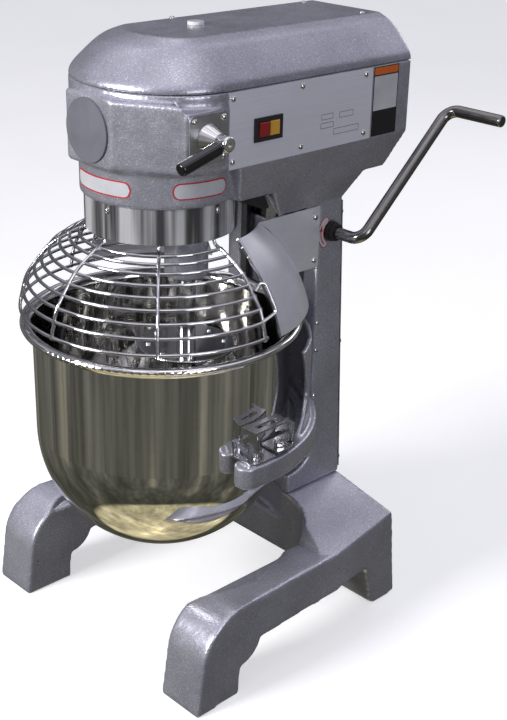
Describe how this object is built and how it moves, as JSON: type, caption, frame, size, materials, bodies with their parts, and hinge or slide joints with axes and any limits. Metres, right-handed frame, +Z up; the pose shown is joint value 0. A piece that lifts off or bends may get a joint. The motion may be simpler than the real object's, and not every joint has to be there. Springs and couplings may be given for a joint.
{
  "type": "planetary stand mixer",
  "caption": "Floor-footed commercial planetary mixer: arched base, column with crank-lifted bowl, wire guard, whisk and a geared drive in the head.",
  "frame": {"origin": "on the floor, under the middle of the machine's bounding box", "axes": "+X to the control and crank side, -Y to the front with the bowl and attachment hub, +Z up"},
  "size_m": [0.426, 0.5405, 0.7701],
  "materials": {
    "paint": "silver-grey sparkle paint under clear coat",
    "cover_paint": "silver-grey sparkle paint under clear coat",
    "stainless_mirror": "mirror-polished stainless steel",
    "stainless": "satin stainless sheet",
    "wire": "electropolished stainless wire",
    "steel": "machined steel",
    "crank_steel": "polished dark steel rod",
    "screw": "plated screws",
    "panel": "satin anodised panel",
    "black_plastic": "glossy black",
    "matte_black": "matt black",
    "red_plastic": "translucent red",
    "amber_plastic": "translucent amber",
    "white_plastic": "white",
    "label": "printed plate, blank",
    "gear_steel": "oiled gear steel",
    "bronze": "bearing bronze",
    "casting": "bare casting",
    "motor_paint": "blue-grey enamel",
    "belt": "belt rubber",
    "whisk_steel": "polished stainless whisk"
  },
  "bodies": {
    "frame": {"base": "paint", "body_casting": "paint", "top_cover": "cover_paint", "cover_screws": "screw", "breather_cap": "white_plastic", "rear_cover": "stainless", "head_screws": "screw", "column_screws": "screw", "cord_gland": "matte_black", "hub_cover": "paint", "hub_bush": "steel", "shift_plate": "paint", "control_panel": "panel", "safety_plate": "label", "switch_bezel": "matte_black", "collar_band": "stainless", "splash_guard_right": "stainless", "splash_guard_left": "stainless", "interlock_switch": "matte_black", "guard_track": "steel", "crank_bushes": "matte_black", "slide_gibs": "steel", "column_bolts": "steel", "ring_gear": "gear_steel", "planetary_bearing": "bronze", "motor": "motor_paint", "drive_belt": "belt", "bearing_plate": "casting", "motor_mount": "casting", "front_bearing": "casting"},
    "wire_guard": {"wire_guard": "wire"},
    "carriage": {"bowl_carriage": "paint", "lift_rack": "gear_steel", "locating_pins": "steel", "clamp_bolts": "screw", "bowl": "stainless_mirror", "bowl_ears": "stainless"},
    "clamp_right": {"bowl_clamp_right": "stainless"},
    "clamp_left": {"bowl_clamp_left": "stainless"},
    "crank": {"crank_handle": "crank_steel", "crank_gear": "gear_steel"},
    "idler": {"lift_idler": "gear_steel"},
    "planetary": {"planet_carrier": "paint", "planetary_shaft": "steel", "bevel_gear": "gear_steel"},
    "agitator": {"agitator_spindle": "steel", "planet_pinion": "gear_steel", "whisk": "whisk_steel"},
    "hub_drive": {"main_shaft": "steel", "bevel_pinion": "gear_steel", "main_gear": "gear_steel"},
    "layshaft": {"lay_shaft": "steel", "lay_gear": "gear_steel", "lay_pulley": "casting"},
    "motor_rotor": {"motor_shaft": "steel", "motor_pulley": "casting"},
    "shift_lever": {"shift_hub": "stainless_mirror", "shift_grip": "black_plastic"},
    "stop_button": {"stop_button": "red_plastic"},
    "start_button": {"start_button": "amber_plastic"}
  },
  "joints": [
    {"name": "guard_swing", "type": "hinge", "parent": "frame", "child": "wire_guard", "pos_m": [0, -0.0975, 0.5], "axis": [0, 0, 1], "range_deg": [-110, 0]},
    {"name": "bowl_lift", "type": "slide", "parent": "frame", "child": "carriage", "axis": [0, 0, 1], "range_m": [-0.045, 0]},
    {"name": "clamp_right_turn", "type": "hinge", "parent": "carriage", "child": "clamp_right", "pos_m": [0.178, -0.0675, 0.31], "axis": [0, 0, 1], "range_deg": [0, 60]},
    {"name": "clamp_left_turn", "type": "hinge", "parent": "carriage", "child": "clamp_left", "pos_m": [-0.178, -0.0675, 0.31], "axis": [0, 0, -1], "range_deg": [0, 60]},
    {"name": "crank_turn", "type": "hinge", "parent": "frame", "child": "crank", "pos_m": [0.1, 0.1095, 0.509], "axis": [1, 0, 0], "range_deg": [-144, 0]},
    {"name": "idler_turn", "type": "hinge", "parent": "frame", "child": "idler", "pos_m": [0, 0.1035, 0.47961], "axis": [1, 0, 0], "range_deg": [0, 216]},
    {"name": "planetary_spin", "type": "hinge", "parent": "frame", "child": "planetary", "pos_m": [0, -0.0975, 0.575], "axis": [0, 0, 1], "continuous": true},
    {"name": "agitator_spin", "type": "hinge", "parent": "planetary", "child": "agitator", "pos_m": [0.045, -0.0975, 0.5], "axis": [0, 0, 1], "continuous": true},
    {"name": "hub_drive_spin", "type": "hinge", "parent": "frame", "child": "hub_drive", "pos_m": [0, 0, 0.669], "axis": [0, 1, 0], "continuous": true},
    {"name": "layshaft_spin", "type": "hinge", "parent": "frame", "child": "layshaft", "pos_m": [0.0578, 0.04, 0.6885], "axis": [0, 1, 0], "continuous": true},
    {"name": "motor_spin", "type": "hinge", "parent": "frame", "child": "motor_rotor", "pos_m": [-0.018, 0.1, 0.682], "axis": [0, 1, 0], "continuous": true},
    {"name": "shift_turn", "type": "hinge", "parent": "frame", "child": "shift_lever", "pos_m": [0.13, -0.128, 0.6705], "axis": [1, 0, 0], "range_deg": [-30, 30]},
    {"name": "stop_press", "type": "slide", "parent": "frame", "child": "stop_button", "axis": [-1, 0, 0], "range_m": [0, 0.0025], "stiffness_N_per_m": 600},
    {"name": "start_press", "type": "slide", "parent": "frame", "child": "start_button", "axis": [-1, 0, 0], "range_m": [0, 0.0025], "stiffness_N_per_m": 600}
  ],
  "couplings": [
    {"joint": "crank_turn", "follows": "bowl_lift", "rad_per_m": 55.556},
    {"joint": "idler_turn", "follows": "bowl_lift", "rad_per_m": -83.333},
    {"joint": "agitator_spin", "follows": "planetary_spin", "ratio": -3},
    {"joint": "hub_drive_spin", "follows": "planetary_spin", "ratio": 2},
    {"joint": "layshaft_spin", "follows": "planetary_spin", "ratio": -3.3043},
    {"joint": "motor_spin", "follows": "planetary_spin", "ratio": -5.5072}
  ]
}
